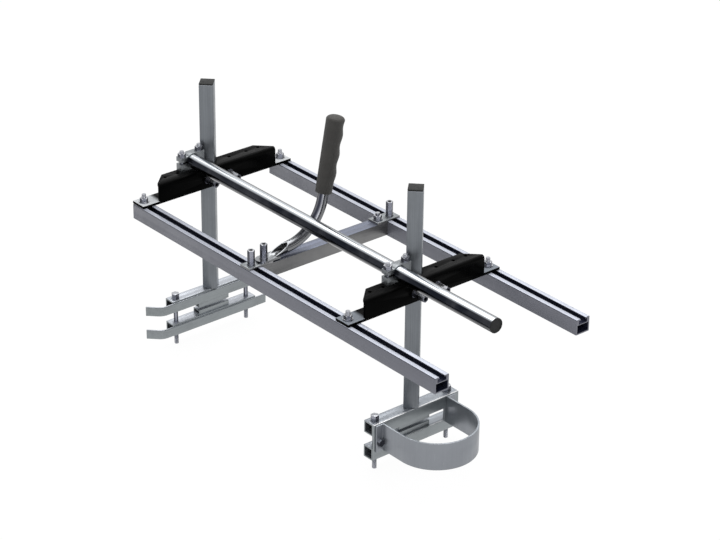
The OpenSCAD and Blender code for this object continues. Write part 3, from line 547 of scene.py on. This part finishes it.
def bright_zinc():
    """Zinc plate with a faint blue cast, cloudy patches and tool marks, painted shade on its flanks and a
    painted highlight on top
    """
    made = Finish("Bright zinc plate", 0.9)
    marks = made.shared(handling_marks, Vector=made.place, Size=160.0)
    skin = made.shared(pebble, Vector=made.place, Size=2200.0)
    looks = made.shared(face_tone, Start=0.3, Full=0.8)
    # Painted shade on flanks that face sideways, and a painted highlight on top
    sideways = made.maths("ABSOLUTE", made.shared(facing, Direction=SIDEWAYS)["Facing"])
    side = made.mix(made.spread(sideways, 0.3, 0.62), tone("zinc"), tone("zinc_dark"))
    base = made.marked(made.mix(looks["Top"], side, tone("zinc_top")), marks, (0.3, "zinc_cloud"),
                       (0.3, "zinc_scratch"))
    return made.done(base, made.spread(marks["Smudge"], 0.0, 1.0, 0.2, 0.34), skin["Relief"], relief=0.10)


def moulded_plastic():
    """Dark moulded plastic of the caps and plugs"""
    made = Finish("Moulded dark plastic", 0.0, specular=0.2)
    skin = made.shared(pebble, Vector=made.place, Size=1500.0)
    marks = made.shared(handling_marks, Vector=made.place, Size=70.0)
    base = made.marked(tone("cap_plastic"), marks, (0.3, "cap_smudge"), (0.2, "cap_scratch"))
    rough = made.spread(marks["Smudge"], 0.0, 1.0, 0.45, 0.6)
    return made.done(base, rough, skin["Relief"], relief=0.3, depth=0.15 * MM)


def grip_rubber():
    """Warm dark rubber with a pebbled skin and paler dust in patches"""
    made = Finish("Grip rubber", 0.0)
    skin = made.shared(pebble, Vector=made.place, Size=1100.0)
    marks = made.shared(handling_marks, Vector=made.place, Size=55.0)
    base = made.marked(tone("grip_rubber"), marks, (0.35, "grip_dust"))
    rough = made.spread(skin["Relief"], 0.3, 1.2, 0.42, 0.6)
    return made.done(base, rough, skin["Relief"], relief=0.45, depth=0.3 * MM)


MAKERS = {
    "rail": partial(drawn_metal, "Rail extruded aluminium", "rail_side", "rail_lip", ALONG_X,
                    roughness=0.36, dark=slot_mask, edge="rail_edge", metallic=0.35),
    "brace": partial(drawn_metal, "Brace aluminium", "brace_side", "brace_top", ALONG_Y,
                     roughness=0.38, edge="bar_edge"),
    "brace_plate": partial(drawn_metal, "Brace plate aluminium", "brace_side", "clamp_block_top", ALONG_Y,
                           roughness=0.34),
    "block": partial(drawn_metal, "Tube clamp machined aluminium", "clamp_block", "clamp_block_top",
                     ALONG_Y, roughness=0.34, streak=0.25),
    "post": partial(drawn_metal, "Post brushed steel", "post_side", "bar_top", ALONG_Z,
                    roughness=0.34, streak=0.35),
    # The two clamps' steels differ only in the painted highlight on their tops
    "bar_left": partial(drawn_metal, "Left clamp rolled steel", "bar_side", "bar_top", ALONG_Y,
                        roughness=0.38, streak=0.2, edge="bar_edge"),
    "bar_right": partial(drawn_metal, "Right clamp rolled steel", "bar_side", "bar_dull", ALONG_Y,
                         roughness=0.38, streak=0.2, edge="bar_edge"),
    "plate": partial(drawn_metal, "Front plate steel", "bar_side", "plate_top", ALONG_Y,
                     roughness=0.36, streak=0.2),
    "guard": partial(drawn_metal, "Nose guard steel", "guard_side", "bar_dull", ALONG_Z,
                     roughness=0.34, streak=0.06, smudge=0.06, relief=0.05),
    "inside": partial(drawn_metal, "Inside of the handle's tube", "inside_side", "inside_top", ALONG_Y,
                      roughness=0.25, streak=0.3, relief=0.05),
    "bore": partial(drawn_metal, "Bore of the long nuts", "bore_dark", "bore_dark", ALONG_Z,
                    roughness=0.5),
    # The two brackets differ only in the painted reflection on their feet
    "bracket_left": partial(bracket_black, "Left bracket gloss black", "foot_left"),
    "bracket_right": partial(bracket_black, "Right bracket gloss black", "foot_right"),
    "handle": handle_steel,
    "chrome": tube_chrome,
    "zinc": bright_zinc,
    "plastic": moulded_plastic,
    "rubber": grip_rubber,
}
FINISHES = {}


def mill_material(name):
    """The mill's material of that name, made once"""
    if name not in FINISHES:
        FINISHES[name] = MAKERS[name]()
    return FINISHES[name]


# Points nearer than this are one point
MERGE = 0.001 * MM
# Faces that meet at less than this are shaded as one round
SMOOTH_BELOW = math.radians(35)
# Faces round a plain shank
ROUND_STEPS = 32


def place_piece(bm, name, nodes, material, smooth_below=SMOOTH_BELOW):
    """Turns a bmesh into a piece that stands for CAD nodes and rides on their body"""
    mesh = bpy.data.meshes.new(name)
    bm.to_mesh(mesh)
    bm.free()
    mesh.shade_smooth()
    mesh.set_sharp_from_angle(angle=smooth_below)
    mesh.materials.append(mill_material(material))
    piece = bpy.data.objects.new(name, mesh)
    bpy.context.scene.collection.objects.link(piece)
    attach(piece, BODY_OF[nodes[0]])
    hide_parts(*nodes)
    return piece


def soft_copy(node, material, edge=0.0):
    """A merged copy of a CAD node with broken edges and smooth rounds"""
    flat_below, sharp_above = math.radians(0.4), math.radians(50)
    bm = bmesh.new()
    bm.from_mesh(frame["nodes"][node].data)
    bmesh.ops.remove_doubles(bm, verts=bm.verts, dist=2 * MERGE)
    bmesh.ops.dissolve_limit(bm, angle_limit=flat_below, verts=bm.verts, edges=bm.edges)
    if edge > 0:
        sharp = [e for e in bm.edges if e.is_manifold and e.calc_face_angle(0.0) > sharp_above]
        bmesh.ops.bevel(bm, geom=sharp, offset=edge, offset_type="OFFSET", segments=2, profile=0.5,
                        affect="EDGES", clamp_overlap=True, material=-1)
    return place_piece(bm, node + "_dressed", [node], material)


def line_inside(piece, material, reach):
    """Gives the walls that face their own piece within a short reach a material of their own"""
    lift = 0.01 * MM
    piece.data.materials.append(mill_material(material))
    bm = bmesh.new()
    bm.from_mesh(piece.data)
    shell = BVHTree.FromBMesh(bm)
    for face in bm.faces:
        start = face.calc_center_median() + face.normal * lift
        if shell.ray_cast(start, face.normal, reach)[0] is not None:
            face.material_index = 1
    bm.to_mesh(piece.data)
    bm.free()


def join(bm, part):
    """Moves the faces of one bmesh into another"""
    mesh = bpy.data.meshes.new("part")
    part.to_mesh(mesh)
    part.free()
    bm.from_mesh(mesh)
    bpy.data.meshes.remove(mesh)


def turned(outline, start, axis, out, steps, closed=False):
    """A bmesh turned about an axis from an outline, whose points go along the axis and out from it"""
    bm = bmesh.new()
    verts = [bm.verts.new(start + axis * along + out * away) for along, away in outline]
    ends = verts[1:] + verts[:1] if closed else verts[1:]
    edges = [bm.edges.new(pair) for pair in zip(verts, ends)]
    bmesh.ops.spin(bm, geom=verts + edges, cent=start, axis=axis, angle=math.tau, steps=steps,
                   use_merge=True)
    bmesh.ops.remove_doubles(bm, verts=bm.verts, dist=MERGE)
    bmesh.ops.recalc_face_normals(bm, faces=bm.faces)
    return bm


def thread(bm, low, top):
    """Adds a helical thread from low to top, both points on the bolt's axis"""
    sizes = shapes()
    steps, spare_turns = 24, 3
    pitch, crest = sizes.thread_pitch, sizes.bolt_radius
    root = crest - sizes.thread_depth
    # One turn in shares of the pitch: root, rising flank, crest and falling flank
    outline = ((root, 0.0), (root, 0.12), (crest, 0.5), (crest, 0.62), (root, 1.0))
    axis = (top - low).normalized()
    side = axis.orthogonal().normalized()
    begin = low - axis * pitch * spare_turns / 2
    turns = math.ceil((top - low).length / pitch) + spare_turns
    part = bmesh.new()
    verts = [part.verts.new(begin + side * away + axis * pitch * share) for away, share in outline]
    edges = [part.edges.new(pair) for pair in zip(verts, verts[1:])]
    bmesh.ops.spin(part, geom=verts + edges, cent=begin, axis=axis, angle=math.tau * turns,
                   dvec=axis * (pitch / steps), steps=steps * turns, use_duplicate=False)
    bmesh.ops.remove_doubles(part, verts=part.verts, dist=20 * MERGE)
    for point, normal in ((low, -axis), (top, axis)):
        cut = bmesh.ops.bisect_plane(part, geom=part.verts[:] + part.edges[:] + part.faces[:],
                                     dist=0.1 * MERGE, plane_co=point, plane_no=normal, clear_outer=True)
        rim = [e for e in cut["geom_cut"] if isinstance(e, bmesh.types.BMEdge)]
        bmesh.ops.edgeloop_fill(part, edges=rim)
    bmesh.ops.recalc_face_normals(part, faces=part.faces)
    join(bm, part)


def prism(segments, radius, height):
    """A bmesh of an upright prism about the origin"""
    part = bmesh.new()
    bmesh.ops.create_cone(part, cap_ends=True, segments=segments, radius1=radius, radius2=radius,
                          depth=height)
    return part


def hexagon(bm, low, height):
    """Adds a six-sided head that stands on a point, with its corners taken off"""
    across = shapes().head_across
    part = prism(6, across / 2 / math.cos(math.radians(30)), height)
    caps = [f for f in part.faces if len(f.verts) == 6]
    bmesh.ops.bevel(part, geom=list({e for f in caps for e in f.edges}), offset=0.06 * across,
                    offset_type="OFFSET", segments=2, profile=0.5, affect="EDGES", material=-1)
    bmesh.ops.translate(part, verts=part.verts, vec=low + Vector((0, 0, height / 2)))
    join(bm, part)


def rod(bm, low, top):
    """Adds a plain shank between two points above each other"""
    part = prism(ROUND_STEPS, shapes().bolt_radius, (top - low).length)
    bmesh.ops.translate(part, verts=part.verts, vec=(low + top) / 2)
    join(bm, part)


class MILL_OT_rails(bpy.types.Operator):
    """Gives the rails, the brace and its plates their aluminium"""

    bl_idname = "mill.rails"
    bl_label = "Rails and brace"

    def execute(self, context):
        sizes = shapes()
        for node in ("rail_near", "rail_far"):
            soft_copy(node, "rail", sizes.rail_edge)
        soft_copy("cross_brace", "brace", sizes.soft_edge)
        for node in ("brace_plate_near", "brace_plate_far"):
            soft_copy(node, "brace_plate", sizes.soft_edge)
        return {"FINISHED"}


class MILL_OT_brackets(bpy.types.Operator):
    """Paints the end brackets black and finishes the tube clamps on them"""

    bl_idname = "mill.brackets"
    bl_label = "End brackets and tube clamps"

    def execute(self, context):
        edge = shapes().soft_edge
        for side in SIDES:
            soft_copy("bracket_" + side, "bracket_" + side, edge)
            soft_copy("tube_clamp_" + side, "block", edge)
        return {"FINISHED"}


class MILL_OT_posts(bpy.types.Operator):
    """Brushes the posts and rounds their plastic caps"""

    bl_idname = "mill.posts"
    bl_label = "Posts and caps"

    def execute(self, context):
        sizes = shapes()
        for side in SIDES:
            soft_copy("post_" + side, "post", sizes.post_edge)
            soft_copy("post_cap_" + side, "plastic", sizes.cap_edge)
        return {"FINISHED"}


class MILL_OT_guide_tube(bpy.types.Operator):
    """Makes the guide tube round and bright, with a ringed plug in each end"""

    bl_idname = "mill.guide_tube"
    bl_label = "Guide tube and plugs"

    def execute(self, context):
        sizes = shapes()
        low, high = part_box("guide_tube")
        long = high.x - low.x
        radius = (high.z - low.z) / 2
        bore = radius - sizes.tube_wall
        edge = sizes.tube_edge
        start = Vector((low.x, (low.y + high.y) / 2, (low.z + high.z) / 2))
        outline = ((0.0, radius - edge), (edge, radius), (long - edge, radius), (long, radius - edge),
                   (long, bore), (0.0, bore))
        bm = turned(outline, start, Vector((1, 0, 0)), Vector((0, 0, 1)), steps=96, closed=True)
        place_piece(bm, "guide_tube_polished", ["guide_tube"], "chrome")
        for side, outward in zip(SIDES, (-1, 1)):
            self.plug("guide_tube_plug_" + side, outward, radius, bore)
        return {"FINISHED"}

    def plug(self, node, outward, radius, bore):
        """A plug with a flange on the tube's end and a raised ring round its face"""
        sizes = shapes()
        low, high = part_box(node)
        face = Vector((high.x if outward > 0 else low.x, (low.y + high.y) / 2, (low.z + high.z) / 2))
        deep = high.x - low.x
        shank = bore - sizes.plug_play
        ring = radius - sizes.plug_rim
        outline = ((deep, 0.0), (deep, shank), (sizes.plug_flange, shank), (sizes.plug_flange, radius),
                   (sizes.plug_edge, radius), (0.0, radius - sizes.plug_edge), (0.0, ring),
                   (sizes.plug_dish, ring - sizes.plug_slope), (sizes.plug_dish, 0.0))
        bm = turned(outline, face, Vector((-outward, 0, 0)), Vector((0, 0, 1)), steps=64)
        place_piece(bm, node + "_ringed", [node], "plastic")


class MILL_OT_handle(bpy.types.Operator):
    """Smooths the bent handle tube and shapes its grip with finger hollows"""

    bl_idname = "mill.handle"
    bl_label = "Handle and grip"

    def execute(self, context):
        sizes = shapes()
        # The walls inside the handle's tube get a painted light material of their own
        line_inside(soft_copy("handle_tube", "handle"), "inside", sizes.handle_bore)
        low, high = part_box("handle_grip")
        axis = Vector((0, math.cos(sizes.grip_slope), math.sin(sizes.grip_slope)))
        across = Vector((0, axis.z, -axis.y))
        foot = sizes.grip_foot / 2
        start = Vector(((low.x + high.x) / 2, low.y + across.y * foot, low.z - across.z * foot))
        bm = turned(self.outline(), start, axis, across, steps=72)
        self.press_fingers(bm, start, axis, across)
        place_piece(bm, "grip_moulded", ["handle_grip"], "rubber", smooth_below=math.radians(60))
        return {"FINISHED"}

    def outline(self):
        """The grip's outline from its bore over its widening side to the top of its dome"""
        sizes = shapes()
        dome_steps, fullness = 14, 0.8
        long, foot, head = sizes.grip_length, sizes.grip_foot / 2, sizes.grip_head / 2
        dome = head / 2
        rings = int(long / sizes.grip_ring)
        points = [(0.0, sizes.grip_bore)]
        for ring in range(rings + 1):
            rise = ring / rings * (long - dome)
            points.append((rise, foot + (head - foot) * rise / long))
        for step in range(1, dome_steps):
            turn = math.pi / 2 * step / dome_steps
            points.append((long - dome + dome * math.sin(turn), head * math.cos(turn) ** fullness))
        return points + [(long, 0.0)]

    def press_fingers(self, bm, start, axis, across):
        """Swells the grip's finger side and presses the finger hollows into it"""
        sizes = shapes()
        last_fades = 0.1
        collar, full = sizes.grip_collar, sizes.grip_full
        side = sizes.grip_length - full
        for vert in bm.verts:
            rise = (vert.co - start).dot(axis)
            out = vert.co - start - axis * rise
            if out.length < sizes.grip_core or rise < collar:
                continue
            front = max(0.0, out.normalized().dot(across))
            risen = min(1.0, (rise - collar) / (full - collar))
            fade = min(1.0, max(0.0, (sizes.grip_length - rise) / side))
            turn = (rise - full) / side * sizes.finger_count
            hollow = 0 < turn < sizes.finger_count - last_fades
            wave = 0.5 - 0.5 * math.cos(math.tau * turn) if hollow else 0.0
            swell = sizes.finger_swell * risen * (2 - risen) * fade
            vert.co += out.normalized() * (swell - sizes.finger_depth * wave) * front


class MILL_OT_clamps(bpy.types.Operator):
    """Finishes the clamp bars, pads, strips, front plate and nose guard"""

    bl_idname = "mill.clamps"
    bl_label = "Bar clamps and nose guard"

    def execute(self, context):
        edge = shapes().soft_edge
        for side in SIDES:
            for piece in ("upper_bar_", "lower_bar_", "upper_pad_", "lower_pad_"):
                soft_copy(piece + side, "bar_" + side, edge)
        for node in ("upper_strip_left", "lower_strip_left"):
            soft_copy(node, "bar_left", edge)
        soft_copy("front_plate", "plate", edge)
        soft_copy("nose_guard", "guard", edge)
        return {"FINISHED"}


class MILL_OT_fasteners(bpy.types.Operator):
    """Cuts threads on the bolts and gives every bolt, nut and washer its zinc"""

    bl_idname = "mill.fasteners"
    bl_label = "Bolts, nuts and washers"

    def execute(self, context):
        sizes = shapes()
        for side in SIDES:
            self.clamp_bolts(side)
            self.upright_bolts("foot_bolts_" + side)
            self.upright_bolts("tube_clamp_bolts_" + side, sizes.near_bolt_drop)
            for kind in ("foot_nuts_", "u_bolt_", "tube_clamp_nuts_"):
                soft_copy(kind + side, "zinc")
            line_inside(soft_copy("u_bolt_nuts_" + side, "zinc"), "bore", sizes.nut_bore)
        for node in ("brace_bolts", "brace_washers", "brace_nut", "guard_bolts", "guard_nuts"):
            soft_copy(node, "zinc")
        line_inside(soft_copy("brace_coupling_nuts", "zinc"), "bore", sizes.nut_bore)
        return {"FINISHED"}

    def clamp_bolts(self, side):
        """The two long bolts that hang from their heads through both bars of a clamp"""
        sizes = shapes()
        node = "clamp_bolts_" + side
        low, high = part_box(node)
        x, half = (low.x + high.x) / 2, sizes.head_across / 2
        bar_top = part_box("upper_bar_" + side)[1].z
        shank_top = bar_top + sizes.head_height
        thread_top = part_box("lower_bar_" + side)[0].z + sizes.thread_rise
        bm = bmesh.new()
        for y in (low.y + half, high.y - half):
            hexagon(bm, Vector((x, y, bar_top)), high.z - bar_top)
            rod(bm, Vector((x, y, thread_top - sizes.thread_lap)), Vector((x, y, shank_top)))
            thread(bm, Vector((x, y, low.z)), Vector((x, y, thread_top)))
        place_piece(bm, node + "_threaded", [node], "zinc")

    def upright_bolts(self, node, drop=0.0):
        """Two bolts that stand on their heads and end in a thread, the near one lower by the drop"""
        sizes = shapes()
        low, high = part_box(node)
        x, half, head = (low.x + high.x) / 2, sizes.head_across / 2, sizes.head_height
        bm = bmesh.new()
        for y, top in ((low.y + half, high.z - drop), (high.y - half, high.z)):
            foot = top - sizes.thread_length
            hexagon(bm, Vector((x, y, low.z)), head)
            rod(bm, Vector((x, y, low.z + head - sizes.head_lap)), Vector((x, y, foot + sizes.thread_lap)))
            thread(bm, Vector((x, y, foot)), Vector((x, y, top)))
        place_piece(bm, node + "_threaded", [node], "zinc")


class MILL_OT_stage(bpy.types.Operator):
    """Sets the floor, the sky, the lamps and the camera"""

    bl_idname = "mill.stage"
    bl_label = "Stage"

    def execute(self, context):
        scene = context.scene
        scene.view_settings.view_transform = "Standard"
        for build in (self.floor, self.sky, self.lamps, self.camera):
            build(scene, scene.mill_stage)
        return {"FINISHED"}

    def floor(self, scene, stage):
        """A floor that looks white and keeps the mill's shadow"""
        bm = bmesh.new()
        bmesh.ops.create_grid(bm, x_segments=1, y_segments=1, size=stage.floor_size / 2)
        bmesh.ops.translate(bm, verts=bm.verts, vec=(0, 0, CAD_LOW.z - stage.floor_drop))
        mesh = bpy.data.meshes.new("floor")
        bm.to_mesh(mesh)
        bm.free()
        made = bpy.data.materials.new("Pale floor")
        tree = Tree(cleared(made))
        matt = tree.add("ShaderNodeBsdfDiffuse", {"Color": solid(stage.floor_tone)}).outputs[0]
        glow = tree.add("ShaderNodeEmission", {"Color": WHITE, "Strength": stage.floor_glow}).outputs[0]
        share = tree.maths("MULTIPLY", tree.seen(), stage.floor_share)
        both = tree.add("ShaderNodeMixShader", {0: share, 1: matt, 2: glow})
        tree.add("ShaderNodeOutputMaterial", {"Surface": both.outputs[0]})
        mesh.materials.append(made)
        ground = bpy.data.objects.new("floor", mesh)
        scene.collection.objects.link(ground)

    def sky(self, scene, stage):
        """A soft light all round that the camera sees as white"""
        world = bpy.data.worlds.new("Studio")
        scene.world = world
        tree = Tree(cleared(world))
        plain = tree.add("ShaderNodeBackground", {"Color": WHITE, "Strength": 1.0}).outputs[0]
        light = tree.add("ShaderNodeBackground", {"Color": solid(stage.sky_tone),
                                                  "Strength": stage.sky_strength}).outputs[0]
        last = tree.add("ShaderNodeMixShader", {0: tree.seen(), 1: light, 2: plain})
        tree.add("ShaderNodeOutputWorld", {"Surface": last.outputs[0]})

    def lamps(self, scene, stage):
        """Two square lamps that look at the mill's middle"""
        centre = (CAD_LOW + CAD_HIGH) / 2
        lamps = (("key", stage.key_place, stage.key_size, stage.key_power, stage.key_tone),
                 ("fill", stage.fill_place, stage.fill_size, stage.fill_power, stage.fill_tone))
        for name, offset, size, watts, tint in lamps:
            data = bpy.data.lights.new(name, "AREA")
            data.shape = "SQUARE"
            data.size = size
            data.energy = watts
            data.color = tint
            lamp = bpy.data.objects.new(name, data)
            lamp.location = centre + Vector(offset)
            lamp.rotation_euler = (centre - lamp.location).to_track_quat("-Z", "Y").to_euler()
            scene.collection.objects.link(lamp)

    def camera(self, scene, stage):
        """The camera that sees the mill as the photograph does"""
        azimuth, height, roll = stage.camera_azimuth, stage.camera_height, stage.camera_roll
        back = Vector((math.sin(azimuth) * math.cos(height), -math.cos(azimuth) * math.cos(height),
                       math.sin(height)))
        right = Vector((math.cos(azimuth), math.sin(azimuth), 0.0))
        up = back.cross(right)
        rolled_right = right * math.cos(roll) + up * math.sin(roll)
        rolled_up = up * math.cos(roll) - right * math.sin(roll)
        data = bpy.data.cameras.new("camera")
        data.lens = stage.camera_lens
        data.sensor_width = 36.0
        data.shift_x = stage.camera_shift
        data.clip_start, data.clip_end = 0.1, 50.0
        camera = bpy.data.objects.new("camera", data)
        turn = Matrix((rolled_right, rolled_up, back)).transposed().to_4x4()
        camera.matrix_world = Matrix.Translation(Vector(stage.camera_place)) @ turn
        scene.collection.objects.link(camera)
        scene.camera = camera


class MILL_PT_panel(bpy.types.Panel):
    """Lists the mill's operators"""

    bl_idname = "MILL_PT_panel"
    bl_label = "Chainsaw mill"
    bl_space_type = "VIEW_3D"
    bl_region_type = "UI"
    bl_category = "Mill"

    def draw(self, context):
        for operator in OPERATORS:
            self.layout.operator(operator.bl_idname)


OPERATORS = (MILL_OT_rails, MILL_OT_brackets, MILL_OT_posts, MILL_OT_guide_tube, MILL_OT_handle,
             MILL_OT_clamps, MILL_OT_fasteners, MILL_OT_stage)
CLASSES = (MillFinish, MillShapes, MillStage, *OPERATORS, MILL_PT_panel)


def register():
    """Adds the classes to Blender and the properties to the scene"""
    for made in CLASSES:
        bpy.utils.register_class(made)
    bpy.types.Scene.mill_finish = PointerProperty(type=MillFinish)
    bpy.types.Scene.mill_shapes = PointerProperty(type=MillShapes)
    bpy.types.Scene.mill_stage = PointerProperty(type=MillStage)


def unregister():
    """Takes the properties and the classes out again"""
    del bpy.types.Scene.mill_stage
    del bpy.types.Scene.mill_shapes
    del bpy.types.Scene.mill_finish
    for made in reversed(CLASSES):
        bpy.utils.unregister_class(made)


def main():
    """Dresses the mill piece by piece"""
    register()
    bpy.ops.mill.rails()
    bpy.ops.mill.brackets()
    bpy.ops.mill.posts()
    bpy.ops.mill.guide_tube()
    bpy.ops.mill.handle()
    bpy.ops.mill.clamps()
    bpy.ops.mill.fasteners()
    bpy.ops.mill.stage()


if __name__ == "__main__":
    main()
